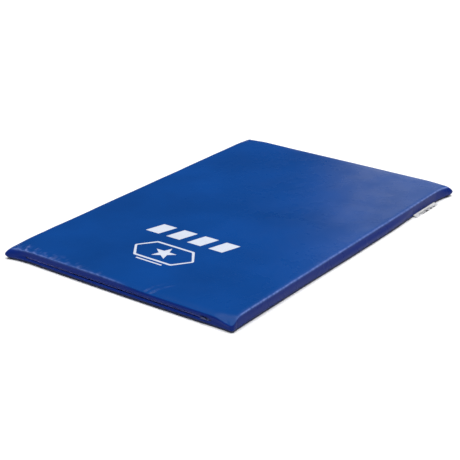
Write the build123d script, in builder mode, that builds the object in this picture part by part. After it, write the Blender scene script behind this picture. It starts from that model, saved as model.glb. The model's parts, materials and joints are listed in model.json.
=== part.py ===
"""A landing mat: layered foam in a zipped vinyl cover, with carry handles and a care tag.

The mat lies flat. X runs across its width, Y along its length, Z up, and the origin is in the
middle of its underside. The zip is in the front end (-Y), the care tag on the right side (+X)
and the carry handles on the left side (-X).
"""

import os
from math import atan2, degrees

from build123d import *

# ---- Driving dimensions, in millimetres ----

LENGTH = 1800.0
WIDTH = 1200.0
HEIGHT = 58.0
CORNER_R = 30.0

VINYL = 1.0
BASE_RIM = 9.0

BASE_FOAM = 10.0
LANDING_FOAM = 10.0
FOAM_SIDE_GAP = 2.0
FOAM_ZIP_GAP = 6.0

BINDING = 0.8
BINDING_W = 11.0

ZIP_Z = 27.0
ZIP_LEFT = -510.0
ZIP_RIGHT = 500.0
ZIP_SLOT = 10.0
COIL_W = 2.6
COIL_T = 2.2
COIL_GAP = 1.8
COIL_ROUND = 0.8
TAPE_T = 0.8
TAPE_TOP_Z = 42.0
TAPE_BOTTOM_Z = 13.0
TAPE_TAIL = 14.0
STOP_L = 6.0
STOP_SET_BACK = 4.0
STOP_ROUND = 0.5

SLIDER_L = 18.0
SLIDER_X = 478.0
SLIDER_PLATE_W = 13.0
SLIDER_PLATE_T = 1.6
SLIDER_PLATE_R = 3.5
SLIDER_EDGE_R = 0.5
SLIDER_KEEL_W = 10.0
SLIDER_KEEL_T = 1.2
SLIDER_KEEL_R = 3.0
SLIDER_FLANGE_T = 0.8
SLIDER_FLANGE_L = 11.0
SLIDER_NECK_W = 1.2
SLIDER_NECK_L = 4.0
RUNNING_GAP = 0.4

PIN_R = 0.8
PIN_RISE = 2.7
CHEEK_IN = 2.2
CHEEK_OUT = 3.4
CHEEK_R = 1.7
KNUCKLE_R = 2.1
KNUCKLE_BORE_R = 1.15
KNUCKLE_HALF_W = 1.9
PULL_L = 30.0
PULL_W = 9.0
PULL_T = 1.6
PULL_NECK = 5.0
PULL_EYE_R = 2.2
PULL_R = 3.0

HANDLE_Y = 450.0
HANDLE_Z = 30.0
STRAP_W = 30.0
STRAP_T = 2.0
STRAP_RISE = 25.0
STRAP_HALF_SPAN = 100.0
STRAP_SEWN = 50.0
PATCH_W = 38.0
PATCH_EDGE = 6.0
PATCH_R = 4.0

TAG_Y = 665.0
TAG_LENGTH = 210.0
TAG_T = 0.8
TAG_ROOT = (WIDTH / 2 + 0.8, 9.4)
TAG_BEND = (WIDTH / 2 + 6.0, 8.4)
TAG_TIP = (WIDTH / 2 + 27.8, 1.2)
INK = 0.15

# Each line printed on the tag: its distance up from the tip, its middle along the tag, its length.
TAG_LINES = ((5.0, 36.0, 62.0), (5.0, -10.0, 14.0), (5.0, -52.0, 30.0), (9.0, -20.0, 118.0))
TAG_LINE_H = 1.6

MARK_Y = -366.0
MARK_H = 100.0
MARK_BAR_W = 74.0
MARK_PITCH = 118.0
MARK_SLANT = 28.0
MARK_COUNT = 4
MARK_X = -9.0

EMBLEM_CENTRE = (-8.0, -568.0)
EMBLEM_W = 328.0
EMBLEM_H = 172.0
EMBLEM_SHOULDER = 62.0
EMBLEM_LINE = 12.0
EMBLEM_R = 14.0
EMBLEM_WINDOW_R = 8.0
STAR_R = 58.0
STAR_WAIST = 0.42
RULE_Y = -672.0
RULE_W = 140.0
RULE_H = 9.0

# ---- Faces and levels worked out from them ----

FRONT = -LENGTH / 2
LEFT = -WIDTH / 2
TOP_UNDER = HEIGHT - VINYL
COVER_IN = FRONT + VINYL
COIL_FACE = COVER_IN - COIL_T
COIL_OUT = COIL_GAP / 2 + COIL_W
PLATE_IN = COIL_FACE - RUNNING_GAP
PLATE_OUT = PLATE_IN - SLIDER_PLATE_T
KEEL_OUT = COVER_IN + TAPE_T + RUNNING_GAP
PIN_Y = PLATE_OUT - PIN_RISE

os.makedirs("parts", exist_ok=True)


def save(part, name):
    """Names a finished piece and writes it to its own file."""
    part.label = name
    export_step(part, f"parts/{name}.step")


def mat_outline(inset, front_inset=None):
    """The mat's plan, a rectangle with rounded corners, set in from the cover's outer face."""
    front = inset if front_inset is None else front_inset
    with Locations((0, (front - inset) / 2)):
        RectangleRounded(WIDTH - 2 * inset, LENGTH - inset - front, CORNER_R - inset)


# ---- Foam ----


def foam_layer(name, low, high):
    """A foam sheet that fills the cover's plan between two heights."""
    with BuildPart() as layer:
        with BuildSketch(Plane.XY.offset(low)):
            mat_outline(FOAM_SIDE_GAP, FOAM_ZIP_GAP)
        extrude(amount=high - low)
    save(layer.part, name)


foam_layer("foam_base_layer", VINYL, VINYL + BASE_FOAM)
foam_layer("foam_core", VINYL + BASE_FOAM, TOP_UNDER - LANDING_FOAM)
foam_layer("foam_landing_layer", TOP_UNDER - LANDING_FOAM, TOP_UNDER)

# ---- Cover: top, base and the bands round the sides ----

with BuildPart() as cover_top_sheet:
    with BuildSketch(Plane.XY.offset(TOP_UNDER)):
        mat_outline(0)
    extrude(amount=VINYL)
save(cover_top_sheet.part, "cover_top_sheet")

with BuildPart() as base_sheet:
    with BuildSketch(Plane.XY):
        mat_outline(0)
    extrude(amount=BASE_RIM)
    with BuildSketch(Plane.XY.offset(VINYL)):
        mat_outline(VINYL)
    extrude(amount=BASE_RIM, mode=Mode.SUBTRACT)
save(base_sheet.part, "base_sheet")


def cover_band(low, high, middle, size):
    """The stretch of the cover's upright wall that lies inside a box of this plan and height."""
    with BuildPart() as band:
        with BuildSketch(Plane.XY.offset(low)):
            mat_outline(0)
            with BuildSketch(mode=Mode.SUBTRACT):
                mat_outline(VINYL)
        extrude(amount=high - low)
        with BuildSketch(Plane.XY.offset(low)):
            with Locations(middle):
                Rectangle(*size)
        extrude(amount=high - low, mode=Mode.INTERSECT)
    return band.part


STRAIGHT = LENGTH - 2 * CORNER_R
END_BAND = (WIDTH, CORNER_R)
END_MIDDLE = LENGTH / 2 - CORNER_R / 2

save(cover_band(BASE_RIM, TOP_UNDER, (WIDTH / 2, 0), (CORNER_R, STRAIGHT)), "side_band_right")
save(cover_band(BASE_RIM, TOP_UNDER, (LEFT, 0), (CORNER_R, STRAIGHT)), "side_band_left")
save(cover_band(BASE_RIM, TOP_UNDER, (0, END_MIDDLE), END_BAND), "side_band_back")


def zip_band(name, low, high):
    """One of the two strips of the front wall, with its half of the zip's slot cut away."""
    strip = cover_band(low, high, (0, -END_MIDDLE), END_BAND)
    with BuildPart() as band:
        add(strip)
        with BuildSketch(Plane.XZ.offset(-FRONT - 2 * VINYL)):
            with Locations(((ZIP_LEFT + ZIP_RIGHT) / 2, ZIP_Z)):
                Rectangle(ZIP_RIGHT - ZIP_LEFT, ZIP_SLOT)
        extrude(amount=3 * VINYL, mode=Mode.SUBTRACT)
    save(band.part, name)


zip_band("front_band_upper", ZIP_Z, TOP_UNDER)
zip_band("front_band_lower", BASE_RIM, ZIP_Z)


def seam_binding(name, low):
    """The tape sewn over a seam's raw edges, all round the inside of the cover."""
    with BuildPart() as binding:
        with BuildSketch(Plane.XY.offset(low)):
            mat_outline(VINYL)
            with BuildSketch(mode=Mode.SUBTRACT):
                mat_outline(VINYL + BINDING)
        extrude(amount=BINDING_W)
    save(binding.part, name)


seam_binding("top_seam_binding", TOP_UNDER - BINDING_W)
seam_binding("base_seam_binding", VINYL)

# ---- Zip ----


def front_plane(depth):
    """A plane facing out of the front end, with its x along the mat's width and its y up."""
    return Plane((0, depth, 0), x_dir=(1, 0, 0), z_dir=(0, -1, 0))


def zip_tape(name, low, high):
    """The woven tape behind the band, which carries one row of coil along its edge."""
    with BuildPart() as tape:
        with BuildSketch(front_plane(COVER_IN + TAPE_T)):
            with Locations(((ZIP_LEFT + ZIP_RIGHT) / 2, (low + high) / 2)):
                Rectangle(ZIP_RIGHT - ZIP_LEFT + 2 * TAPE_TAIL, high - low)
        extrude(amount=TAPE_T)
    save(tape.part, name)


zip_tape("zip_tape_upper", ZIP_Z + COIL_GAP / 2, TAPE_TOP_Z)
zip_tape("zip_tape_lower", TAPE_BOTTOM_Z, ZIP_Z - COIL_GAP / 2)

COIL_START = ZIP_LEFT + STOP_SET_BACK + STOP_L
COIL_END = ZIP_RIGHT - STOP_SET_BACK - STOP_L
COIL_Z = COIL_GAP / 2 + COIL_W / 2


def zip_coil(name, side):
    """One row of the coil, on the outer face of its tape. side is 1 above the slit, -1 below."""
    with BuildPart() as coil:
        with BuildSketch(Plane.YZ.offset(COIL_START)):
            with Locations((COVER_IN - COIL_T / 2, ZIP_Z + side * COIL_Z)):
                RectangleRounded(COIL_T, COIL_W, COIL_ROUND)
        extrude(amount=COIL_END - COIL_START)
    save(coil.part, name)


zip_coil("zip_coil_upper", 1)
zip_coil("zip_coil_lower", -1)

with BuildPart() as zip_end_stops:
    with BuildSketch(front_plane(COVER_IN)):
        with Locations((COIL_START - STOP_L / 2, ZIP_Z)):
            Rectangle(STOP_L, 2 * COIL_OUT)
        with Locations((COIL_END + STOP_L / 2, ZIP_Z + COIL_Z), (COIL_END + STOP_L / 2, ZIP_Z - COIL_Z)):
            Rectangle(STOP_L, COIL_W)
    extrude(amount=COIL_T)
    fillet(zip_end_stops.faces().sort_by(Axis.Y)[:3].edges(), STOP_ROUND)
save(zip_end_stops.part, "zip_end_stops")

with BuildPart() as zip_slider:
    with BuildSketch(front_plane(PLATE_IN)):
        with Locations((SLIDER_X, ZIP_Z)):
            RectangleRounded(SLIDER_L, SLIDER_PLATE_W, SLIDER_PLATE_R)
    extrude(amount=SLIDER_PLATE_T)
    fillet(zip_slider.faces().sort_by(Axis.Y)[0].edges(), SLIDER_EDGE_R)
    with BuildSketch(front_plane(PLATE_IN)):
        for side in (1, -1):
            with Locations((SLIDER_X, ZIP_Z + side * (COIL_OUT + RUNNING_GAP + SLIDER_FLANGE_T / 2))):
                Rectangle(SLIDER_FLANGE_L, SLIDER_FLANGE_T)
    extrude(amount=PLATE_IN - FRONT + RUNNING_GAP)
    with BuildSketch(front_plane(KEEL_OUT + SLIDER_KEEL_T)):
        with Locations((SLIDER_X, ZIP_Z)):
            RectangleRounded(SLIDER_L, SLIDER_KEEL_W, SLIDER_KEEL_R)
    extrude(amount=SLIDER_KEEL_T)
    with BuildSketch(front_plane(KEEL_OUT)):
        with Locations((SLIDER_X + SLIDER_L / 2 - SLIDER_NECK_L, ZIP_Z)):
            Rectangle(SLIDER_NECK_L, SLIDER_NECK_W)
    extrude(amount=KEEL_OUT - PLATE_IN)
    for side in (1, -1):
        inner = ZIP_Z + side * CHEEK_IN
        with BuildSketch(Plane.XY.offset(inner)):
            with Locations((SLIDER_X, PIN_Y)):
                Circle(CHEEK_R)
            with Locations((SLIDER_X, (PIN_Y + PLATE_OUT) / 2)):
                Rectangle(2 * CHEEK_R, PIN_RISE)
        extrude(amount=side * (CHEEK_OUT - CHEEK_IN))
    with BuildSketch(Plane.XY.offset(ZIP_Z - CHEEK_OUT)):
        with Locations((SLIDER_X, PIN_Y)):
            Circle(PIN_R)
    extrude(amount=2 * CHEEK_OUT)
save(zip_slider.part, "zip_slider")

with BuildPart() as zip_pull:
    with BuildSketch(Plane.XY.offset(ZIP_Z - KNUCKLE_HALF_W)):
        with Locations((SLIDER_X, PIN_Y)):
            Circle(KNUCKLE_R)
    extrude(amount=2 * KNUCKLE_HALF_W)
    with BuildSketch(front_plane(PIN_Y + PULL_T / 2)):
        with Locations((SLIDER_X - PULL_NECK, ZIP_Z)):
            Rectangle(2 * PULL_NECK - 2 * KNUCKLE_BORE_R, 2 * KNUCKLE_HALF_W)
        with Locations((SLIDER_X - (PULL_NECK + PULL_L) / 2, ZIP_Z)):
            RectangleRounded(PULL_L - PULL_NECK, PULL_W, PULL_R)
    extrude(amount=PULL_T)
    with BuildSketch(Plane.XY.offset(ZIP_Z - KNUCKLE_HALF_W)):
        with Locations((SLIDER_X, PIN_Y)):
            Circle(KNUCKLE_BORE_R)
    extrude(amount=2 * KNUCKLE_HALF_W, mode=Mode.SUBTRACT)
    with BuildSketch(front_plane(PIN_Y + PULL_T / 2)):
        with Locations((SLIDER_X - PULL_L + 2 * PULL_EYE_R, ZIP_Z)):
            Circle(PULL_EYE_R)
    extrude(amount=PULL_T, mode=Mode.SUBTRACT)
save(zip_pull.part, "zip_pull")

# ---- Carry handles on the left side ----

# Each half of the strap's bow is two equal arcs that meet in the middle of its rise.
STRAP_ARC_R = (STRAP_HALF_SPAN**2 + STRAP_RISE**2) / (4 * STRAP_RISE)
GRIP_HALF = STRAP_HALF_SPAN / 2
SEWN_FACE = LEFT - VINYL
STRAP_MID = SEWN_FACE - STRAP_T / 2
STRAP_CROWN = STRAP_MID - STRAP_RISE
STRAP_TURN = 2 * degrees(atan2(STRAP_RISE, STRAP_HALF_SPAN))


def strap_grip(name, middle):
    """The loose middle of a handle: a single arc of webbing that bows out from the wall."""
    inner = STRAP_ARC_R - STRAP_T / 2
    outer = STRAP_ARC_R + STRAP_T / 2
    with BuildPart() as grip:
        with BuildSketch(Plane.XY.offset(HANDLE_Z - STRAP_W / 2)):
            with Locations((STRAP_CROWN + STRAP_ARC_R, middle)):
                Circle(outer)
                Circle(inner, mode=Mode.SUBTRACT)
            with Locations((STRAP_CROWN, middle)):
                Rectangle(2 * STRAP_RISE, 2 * GRIP_HALF, mode=Mode.INTERSECT)
        extrude(amount=STRAP_W)
    save(grip.part, name)


def strap_ends(name, middle):
    """The two sewn ends of a handle, each flat on the wall and then rising to the grip."""
    with BuildPart() as ends:
        for side in (1, -1):
            foot = middle + side * STRAP_HALF_SPAN
            arc_middle = (STRAP_MID - STRAP_ARC_R, foot)
            with BuildSketch(Plane.XY.offset(HANDLE_Z - STRAP_W / 2)):
                with Locations(arc_middle):
                    Circle(STRAP_ARC_R + STRAP_T / 2)
                    Circle(STRAP_ARC_R - STRAP_T / 2, mode=Mode.SUBTRACT)
                with Locations((STRAP_MID - STRAP_RISE / 2 + STRAP_T, foot - side * GRIP_HALF / 2)):
                    Rectangle(STRAP_RISE + 2 * STRAP_T, GRIP_HALF, mode=Mode.INTERSECT)
                with Locations((STRAP_MID, foot + side * STRAP_SEWN / 2)):
                    Rectangle(STRAP_T, STRAP_SEWN)
            extrude(amount=STRAP_W)
    save(ends.part, name)


for place, along in (("front", -HANDLE_Y), ("rear", HANDLE_Y)):
    strap_grip(f"handle_{place}_grip", along)
    strap_ends(f"handle_{place}_ends", along)

with BuildPart() as handle_patches:
    with BuildSketch(Plane.YZ.offset(SEWN_FACE)):
        for along in (-HANDLE_Y, HANDLE_Y):
            for side in (1, -1):
                with Locations((along + side * (STRAP_HALF_SPAN + STRAP_SEWN / 2), HANDLE_Z)):
                    RectangleRounded(STRAP_SEWN + 2 * PATCH_EDGE, PATCH_W, PATCH_R)
    extrude(amount=VINYL)
save(handle_patches.part, "handle_patches")

# ---- Care tag on the right side ----

TAG_START = TAG_Y - TAG_LENGTH / 2
TAG_SLOPE = degrees(atan2(TAG_TIP[1] - TAG_BEND[1], TAG_TIP[0] - TAG_BEND[0]))

with BuildPart() as care_tag:
    with BuildSketch(Plane((0, TAG_START, 0), x_dir=(1, 0, 0), z_dir=(0, -1, 0))):
        with BuildLine() as tag_line:
            Polyline(TAG_ROOT, TAG_BEND, TAG_TIP)
        trace(line_width=TAG_T)
    extrude(amount=-TAG_LENGTH)
save(care_tag.part, "care_tag")

# The flat run of the tag, as a plane with its x down the slope and its y along the mat.
tag_face = Plane((TAG_TIP[0], TAG_Y, TAG_TIP[1]), x_dir=(1, 0, 0), z_dir=(0, 0, 1))
tag_face = tag_face.rotated((0, -TAG_SLOPE, 0)).offset(TAG_T / 2)

with BuildPart() as care_tag_print:
    with BuildSketch(tag_face):
        for up, along, long in TAG_LINES:
            with Locations((-up, along)):
                Rectangle(TAG_LINE_H, long)
    extrude(amount=INK)
save(care_tag_print.part, "care_tag_print")

# ---- Print on the top sheet ----

with BuildPart() as top_print_bars:
    with BuildSketch(Plane.XY.offset(HEIGHT)):
        for step in range(MARK_COUNT):
            middle = MARK_X + (step - (MARK_COUNT - 1) / 2) * MARK_PITCH
            low, high = MARK_Y - MARK_H / 2, MARK_Y + MARK_H / 2
            left, right = middle - MARK_BAR_W / 2, middle + MARK_BAR_W / 2
            with BuildLine():
                Polyline(
                    (left - MARK_SLANT / 2, low),
                    (right - MARK_SLANT / 2, low),
                    (right + MARK_SLANT / 2, high),
                    (left + MARK_SLANT / 2, high),
                    close=True,
                )
            make_face()
    extrude(amount=INK)
save(top_print_bars.part, "top_print_bars")


def shouldered_outline(line):
    """The corners of a wide six-sided outline, set in by the line's width."""
    half_w = EMBLEM_W / 2 - line
    half_h = EMBLEM_H / 2 - line
    shoulder = half_w - EMBLEM_SHOULDER + line / 2
    right = [(shoulder, half_h), (half_w, 0), (shoulder, -half_h)]
    return right + [(-x, -y) for x, y in right]


def star_outline():
    """The ten corners of a five-pointed star, from its top tip round."""
    turns = [Vector(0, 1).rotate(Axis.Z, 36 * corner) for corner in range(10)]
    return [turn * STAR_R * (STAR_WAIST if corner % 2 else 1) for corner, turn in enumerate(turns)]


with BuildPart() as top_print_emblem:
    with BuildSketch(Plane((*EMBLEM_CENTRE, HEIGHT))) as emblem:
        with BuildLine():
            Polyline(*shouldered_outline(0), close=True)
        make_face()
        fillet(emblem.vertices(), EMBLEM_R)
        with BuildSketch(mode=Mode.SUBTRACT) as window:
            with BuildLine():
                Polyline(*shouldered_outline(EMBLEM_LINE), close=True)
            make_face()
            fillet(window.vertices(), EMBLEM_WINDOW_R)
        with BuildLine():
            Polyline(*star_outline(), close=True)
        make_face()
        with Locations((0, RULE_Y - EMBLEM_CENTRE[1])):
            Rectangle(RULE_W, RULE_H)
    extrude(amount=INK)
save(top_print_emblem.part, "top_print_emblem")
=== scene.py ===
"""A crash landing mat: laminated foam in a zipped vinyl cover, with carry handles, a care tag and
a screen print.

X runs across the mat, Y along it and Z up. The zip is in the front end (-Y), the care tag on the
right side (+X) and the carry handles on the left side (-X). All lengths are in metres.
"""

import json
import math
from contextlib import contextmanager

import bmesh
import bpy
import numpy as np
from bpy.props import FloatProperty, FloatVectorProperty, PointerProperty
from mathutils import Matrix, Vector, noise
from mathutils.bvhtree import BVHTree

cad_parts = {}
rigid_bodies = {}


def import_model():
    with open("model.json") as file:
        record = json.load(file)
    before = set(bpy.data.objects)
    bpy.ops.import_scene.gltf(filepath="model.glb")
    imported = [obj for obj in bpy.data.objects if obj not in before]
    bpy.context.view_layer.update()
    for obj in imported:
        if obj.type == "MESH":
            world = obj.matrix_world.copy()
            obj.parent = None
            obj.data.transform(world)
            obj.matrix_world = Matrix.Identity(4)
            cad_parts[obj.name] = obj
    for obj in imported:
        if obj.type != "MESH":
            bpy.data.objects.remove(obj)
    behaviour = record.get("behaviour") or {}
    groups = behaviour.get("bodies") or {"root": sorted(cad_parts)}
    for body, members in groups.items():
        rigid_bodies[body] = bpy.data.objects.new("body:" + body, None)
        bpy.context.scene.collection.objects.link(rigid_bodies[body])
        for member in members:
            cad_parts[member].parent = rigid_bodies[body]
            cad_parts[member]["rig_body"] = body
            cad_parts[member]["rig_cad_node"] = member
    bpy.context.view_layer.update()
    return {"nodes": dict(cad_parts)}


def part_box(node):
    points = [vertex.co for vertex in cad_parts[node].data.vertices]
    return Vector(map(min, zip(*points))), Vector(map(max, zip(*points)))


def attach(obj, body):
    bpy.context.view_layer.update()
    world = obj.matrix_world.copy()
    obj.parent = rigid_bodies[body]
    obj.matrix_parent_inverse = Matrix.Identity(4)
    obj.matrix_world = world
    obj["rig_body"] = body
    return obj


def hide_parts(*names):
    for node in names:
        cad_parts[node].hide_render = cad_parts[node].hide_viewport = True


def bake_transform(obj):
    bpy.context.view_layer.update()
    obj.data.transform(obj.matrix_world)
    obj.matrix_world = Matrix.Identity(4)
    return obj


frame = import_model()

bl_info = {
    "name": "Landing Mat",
    "version": (1, 0, 0),
    "blender": (4, 5, 0),
    "location": "3D View > Sidebar > Landing Mat",
    "description": "Makes a foam landing mat in a zipped vinyl cover, piece by piece",
    "category": "Add Mesh",
}

# ---- Places taken from the frame, and a few sizes that it has no box for ----

COVER_LOW, COVER_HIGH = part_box("cover_top_sheet")
WIDTH = COVER_HIGH.x - COVER_LOW.x
LENGTH = COVER_HIGH.y - COVER_LOW.y
HEIGHT = COVER_HIGH.z
BASE_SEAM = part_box("base_sheet")[1].z
TOP_SEAM = HEIGHT - 0.0015
TAPE_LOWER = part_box("zip_tape_lower")
TAPE_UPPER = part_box("zip_tape_upper")
ZIP_Z = (TAPE_LOWER[1].z + TAPE_UPPER[0].z) / 2
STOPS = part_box("zip_end_stops")
SLOT_HALF = 0.0038
SLOT_LEFT = STOPS[0].x - 0.004
SLOT_RIGHT = STOPS[1].x + 0.004
CORNER_R = 0.030
PLAN_R = 0.012
EAR_Z = 0.025
EAR_ZONE = 0.120
SAME = 1e-5
FRONT = -LENGTH / 2
RIGHT = WIDTH / 2
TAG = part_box("care_tag")
TAG_Y = (TAG[0].y + TAG[1].y) / 2

TOP, SIDE_RIGHT, SIDE_LEFT, SIDE_BACK, FRONT_UPPER, FRONT_LOWER, BASE, SLOT = range(8)


# ---- What a user may change ----


def length(name, description, default):
    return FloatProperty(
        name=name, description=description, default=default, subtype="DISTANCE", unit="LENGTH"
    )


def colour(name, description, default):
    return FloatVectorProperty(
        name=name, description=description, default=default, subtype="COLOR", size=3, min=0, max=1
    )


def angle(name, description, degrees):
    return FloatProperty(
        name=name, description=description, default=math.radians(degrees), subtype="ANGLE", unit="ROTATION"
    )


class MatSizes(bpy.types.PropertyGroup):
    """Sizes of the cover and its sewing."""

    vinyl: length("Vinyl", "Thickness of the cover's coated cloth", 0.001)
    puff: length("Puff", "How far the cloth may swell between its seams", 0.0022)
    belly: length("Belly", "How far the side walls round out at mid height", 0.0016)
    lip: length("Lip", "How far the front wall stands out below the zip", 0.0050)
    roll: length("Roll", "How far the front edge drops where it has no crease", 0.0060)
    seam_pinch: length("Seam pinch", "How far a seam pulls into the cover", 0.0009)
    ear: length("Ear", "How far each corner's point of spare cloth sticks out, across and along", 0.028)
    base_round: length("Base round", "How far the turned-up base tucks under", 0.0018)
    stitch: length("Stitch", "Distance from one stitch to the next", 0.0045)
    thread: length("Thread", "Thickness of the sewing thread", 0.0007)
    coil_pitch: length("Coil pitch", "Distance from one coil turn to the next", 0.0020)


class MatColours(bpy.types.PropertyGroup):
    """Colours of the mat's materials."""

    cover: colour("Cover", "Smooth vinyl of the top and sides", (0.0035, 0.0510, 0.2350))
    # Painted shade: the walls' darker, more violet vinyl stands in for the shade on the upright walls.
    side: colour("Sides", "The darker, more violet vinyl of the walls", (0.0060, 0.0230, 0.1900))
    # Painted highlight: this lighter vinyl is laid along the creased edges and on the creases in place of
    # their highlight, partly as worn vinyl; it also shows in the print's cracks.
    worn: colour("Worn cover", "Vinyl where edges have rubbed", (0.160, 0.225, 0.545))
    base: colour("Base", "Non-slip vinyl of the underside", (0.010, 0.020, 0.075))
    printed: colour("Print", "Screen print on the top", (0.62, 0.66, 0.76))
    thread: colour("Thread", "Sewing thread", (0.006, 0.030, 0.150))
    webbing: colour("Webbing", "Carry handles", (0.006, 0.014, 0.070))
    tape: colour("Tape", "Zip tape and seam bindings", (0.036, 0.052, 0.290))
    coil: colour("Coil", "Nylon zip coil", (0.046, 0.066, 0.350))
    metal: colour("Metal", "Zip slider, pull and stops", (0.045, 0.055, 0.120))
    tag: colour("Tag", "Care tag cloth", (0.80, 0.80, 0.80))
    ink: colour("Ink", "Print on the care tag", (0.012, 0.012, 0.014))
    firm_foam: colour("Firm foam", "Closed-cell foam layers", (0.78, 0.78, 0.74))
    soft_foam: colour("Soft foam", "Open-cell foam core", (0.50, 0.56, 0.62))


class MatStage(bpy.types.PropertyGroup):
    """Camera, floor and lights."""

    azimuth: angle("Azimuth", "Camera's turn about the mat from straight in front", 36.225)
    elevation: angle("Elevation", "Camera's height angle above the floor", 23.195)
    distance: length("Distance", "Camera's distance from the point it faces", 5.8492)
    slide: length("Slide", "Camera's shift to the right", -0.0563)
    rise: length("Rise", "Camera's shift upwards", -0.0231)
    lens: FloatProperty(name="Lens", description="Focal length in millimetres", default=97.71)
    floor: colour("Floor", "Pale floor", (0.95, 0.95, 0.95))
    sky: FloatProperty(name="Sky", description="Brightness of the light all round", default=0.05)
    key: FloatProperty(name="Key", description="Strength of the broad light overhead", default=3.9)
    spread: angle("Spread", "Angle that the broad light overhead covers", 56)
    back: FloatProperty(name="Back", description="Power of the panel behind the mat", default=55.0)


# ---- Working with objects ----

AXES = (Vector((1, 0, 0)), Vector((0, 1, 0)), Vector((0, 0, 1)))


def only(piece):
    """Selects one object and makes it active."""
    bpy.ops.object.select_all(action="DESELECT")
    piece.select_set(True)
    bpy.context.view_layer.objects.active = piece


def fresh(name):
    """Names the object that an operator has just added, and puts its place into its mesh."""
    piece = bpy.context.object
    piece.name = name
    piece.data.name = name
    only(piece)
    bpy.ops.object.transform_apply(location=True, rotation=True, scale=True)
    return piece


def added(kind, name, **settings):
    """Adds a primitive of a kind, and returns it named and with its place in its mesh."""
    bpy.ops.object.select_all(action="DESELECT")
    getattr(bpy.ops.mesh, f"primitive_{kind}_add")(**settings)
    return fresh(name)


def joined(pieces, name):
    """One object made of several."""
    only(pieces[0])
    for piece in pieces:
        piece.select_set(True)
    bpy.ops.object.join()
    whole = bpy.context.object
    whole.name = name
    whole.data.name = name
    return whole


@contextmanager
def editing(piece, kind="FACE"):
    """Edit mode on one piece, with nothing selected at first."""
    only(piece)
    bpy.ops.object.mode_set(mode="EDIT")
    bpy.ops.mesh.select_mode(type=kind)
    bpy.ops.mesh.select_all(action="DESELECT")
    try:
        yield bmesh.from_edit_mesh(piece.data)
    finally:
        bpy.ops.object.mode_set(mode="OBJECT")


def bisect_at(spots, way):
    """In edit mode, adds a line of edges at each spot, square to a way."""
    for spot in spots:
        bpy.ops.mesh.select_all(action="SELECT")
        bpy.ops.mesh.bisect(plane_co=spot, plane_no=way)


def cut(piece, spots, way):
    """Adds a line of edges round a piece at each spot, square to a way."""
    with editing(piece):
        bisect_at(spots, way)


def at_levels(levels):
    """Spots for level lines of edges."""
    return [(0, 0, level) for level in levels]


def round_edges(piece, wanted, offset, segments):
    """Bevels the edges of a piece whose two ends pass a test."""
    with editing(piece, "EDGE") as mesh:
        for edge in mesh.edges:
            edge.select_set(wanted(*(vert.co for vert in edge.verts)))
        bmesh.update_edit_mesh(piece.data)
        bpy.ops.mesh.bevel(offset=offset, segments=segments, affect="EDGES")


def points(piece):
    """A piece's vertices as an array."""
    flat = np.empty(len(piece.data.vertices) * 3)
    piece.data.vertices.foreach_get("co", flat)
    return flat.reshape(-1, 3)


def set_points(piece, places):
    piece.data.vertices.foreach_set("co", np.asarray(places, float).ravel())
    piece.data.update()


def mark(piece, title, values):
    """Writes one value a point, for the piece's material to read."""
    marked = piece.data.attributes.new(title, "FLOAT", "POINT")
    marked.data.foreach_set("value", np.asarray(values, np.float32))


def map_flat(piece, title, places):
    """Names a piece's UV map, and gives every point its place on the flat cloth."""
    layer = piece.data.uv_layers[0]
    layer.name = title
    for loop in piece.data.loops:
        layer.data[loop.index].uv = places[loop.vertex_index]


def apply_all(piece):
    """Applies every modifier on a piece, in order."""
    only(piece)
    for modifier in list(piece.modifiers):
        bpy.ops.object.modifier_apply(modifier=modifier.name)


def bevel(piece, width, limit=35):
    modifier = piece.modifiers.new("Rounded edges", "BEVEL")
    modifier.width = width
    modifier.segments = 2
    modifier.limit_method = "ANGLE"
    modifier.angle_limit = math.radians(limit)
    apply_all(piece)


def thicken(piece, thickness, offset=-1.0):
    modifier = piece.modifiers.new("Thickness", "SOLIDIFY")
    modifier.thickness = thickness
    modifier.offset = offset
    modifier.use_even_offset = False
    apply_all(piece)


def smooth(piece, limit=40):
    only(piece)
    bpy.ops.object.shade_smooth_by_angle(angle=math.radians(limit))


def finish_piece(piece, material, body="mat", stands_for=()):
    """Gives a finished piece its material and its body, and hides what it stands for."""
    piece.data.materials.clear()
    piece.data.materials.append(material)
    if body:
        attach(piece, body)
    if stands_for:
        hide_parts(*stands_for)


def repeated(name, template, places):
    """One object that holds a copy of a template at each place, and removes the template."""
    source = points(template)
    faces = [tuple(face.vertices) for face in template.data.polygons]
    verts = []
    polygons = []
    for place in places:
        turn = np.array(place.to_3x3())
        polygons += [tuple(index + len(verts) * len(source) for index in face) for face in faces]
        verts.append(source @ turn.T + np.array(place.translation))
    mesh = bpy.data.meshes.new(name)
    mesh.from_pydata(np.concatenate(verts).tolist(), [], polygons)
    piece = bpy.data.objects.new(name, mesh)
    bpy.context.scene.collection.objects.link(piece)
    bpy.data.objects.remove(template)
    only(piece)
    bpy.ops.object.shade_smooth()
    return piece


# ---- Materials ----


def new_material(name, base, roughness, **settings):
    """A material with its shader's even values set, its node tree, shader and coordinates."""
    material = bpy.data.materials.new(name)
    material.use_nodes = True
    tree = material.node_tree
    shader = tree.nodes["Principled BSDF"]
    shader.inputs["Base Color"].default_value = (*base, 1)
    shader.inputs["Roughness"].default_value = roughness
    for key, value in settings.items():
        shader.inputs[key.replace("_", " ").title().replace("Ior", "IOR")].default_value = value
    coordinates = tree.nodes.new("ShaderNodeTexCoord")
    return material, tree, shader, coordinates.outputs["Object"]


def node(tree, kind, **inputs):
    """Adds a node. Keys are settings, or inputs by name; a socket is linked and a value is set."""
    made = tree.nodes.new(kind)
    for key, value in inputs.items():
        if hasattr(made, key) and key not in ("Scale", "Distance"):
            setattr(made, key, value)
            continue
        socket = made.inputs[key.replace("_", " ")]
        if isinstance(value, bpy.types.NodeSocket):
            tree.links.new(value, socket)
        else:
            socket.default_value = value
    return made


def noise_value(tree, vector, scale, detail, roughness=0.5):
    made = node(tree, "ShaderNodeTexNoise", Vector=vector, Scale=scale, Detail=detail, Roughness=roughness)
    return made.outputs["Fac"]


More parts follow.
